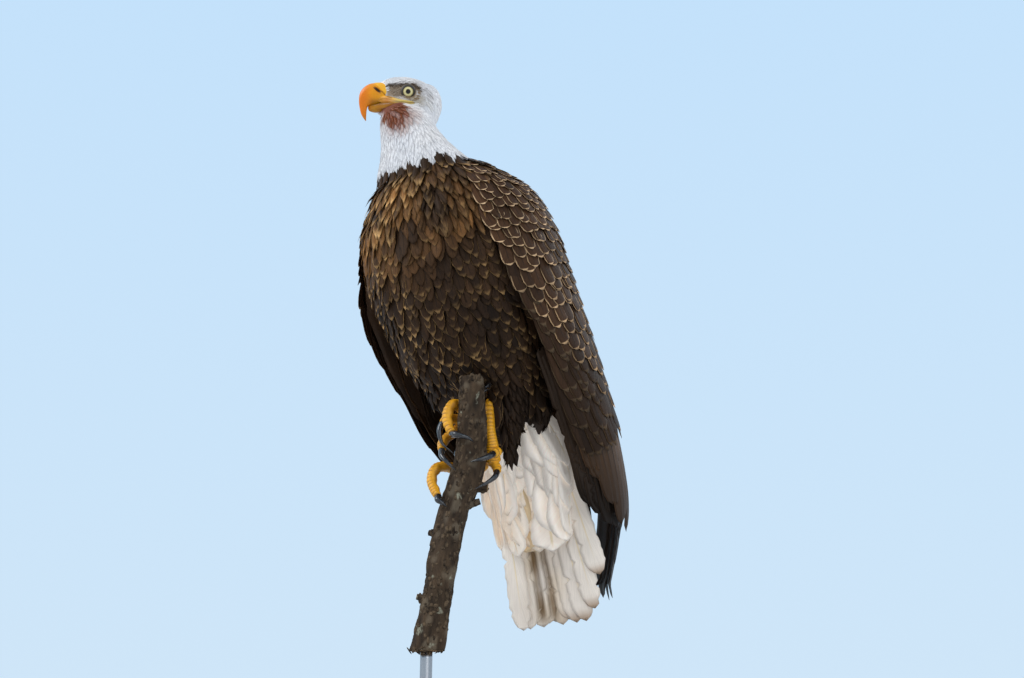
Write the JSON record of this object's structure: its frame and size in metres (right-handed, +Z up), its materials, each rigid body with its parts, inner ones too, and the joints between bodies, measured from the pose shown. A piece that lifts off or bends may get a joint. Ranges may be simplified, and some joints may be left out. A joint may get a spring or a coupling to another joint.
{
  "type": "bald eagle perched on a branch",
  "caption": "Life-size bald eagle standing upright with folded wings, head turned aside, gripping a cut length of steep branch held on a rod above a flat round base.",
  "frame": {"origin": "centre of the stand base's underside, on the floor", "axes": "+Z up; the bird's breast faces -Y and its left side is +X"},
  "size_m": [0.37, 0.4366, 0.9643],
  "materials": {
    "feathers_white": "soft white feathers, matt",
    "feathers_brown": "dark brown feathers with paler edges, matt",
    "feathers_dark": "blackish brown trouser feathers, matt",
    "flight_feathers": "long blackish brown vanes, slight sheen",
    "bill": "deep yellow-orange horn, satin",
    "cere": "yellow skin over the base of the bill, satin",
    "foot_skin": "orange-yellow scaled skin",
    "claw": "blackish horn, glossy",
    "eye": "wet pale yellow iris with a black pupil",
    "bark": "rough grey-brown bark, pale cut ends",
    "stand_base": "dark stained wood, satin",
    "stand_rod": "brushed steel rod"
  },
  "bodies": {
    "root": {"stand_base": "stand_base", "perch_branch": "bark", "stand_rod": "stand_rod", "eye_left": "eye", "eye_right": "eye", "cere": "cere", "bill_upper": "bill", "bill_lower": "bill", "head": "feathers_white", "neck": "feathers_white", "shank_left": "foot_skin", "shank_right": "foot_skin", "toe_left_1": "foot_skin", "toe_left_2": "foot_skin", "toe_left_3": "foot_skin", "toe_left_4": "foot_skin", "toe_right_1": "foot_skin", "toe_right_2": "foot_skin", "toe_right_3": "foot_skin", "toe_right_4": "foot_skin", "claw_left_1": "claw", "claw_left_2": "claw", "claw_left_3": "claw", "claw_left_4": "claw", "claw_right_1": "claw", "claw_right_2": "claw", "claw_right_3": "claw", "claw_right_4": "claw", "trunk": "feathers_brown", "thigh_left": "feathers_dark", "thigh_right": "feathers_dark", "tail_feathers": "feathers_white", "tail_coverts_under": "feathers_white", "tail_coverts_upper": "feathers_white", "wing_left_coverts": "feathers_brown", "wing_left_secondaries": "flight_feathers", "wing_left_primaries": "flight_feathers", "wing_right_coverts": "feathers_brown", "wing_right_secondaries": "flight_feathers", "wing_right_primaries": "flight_feathers"}
  },
  "joints": []
}
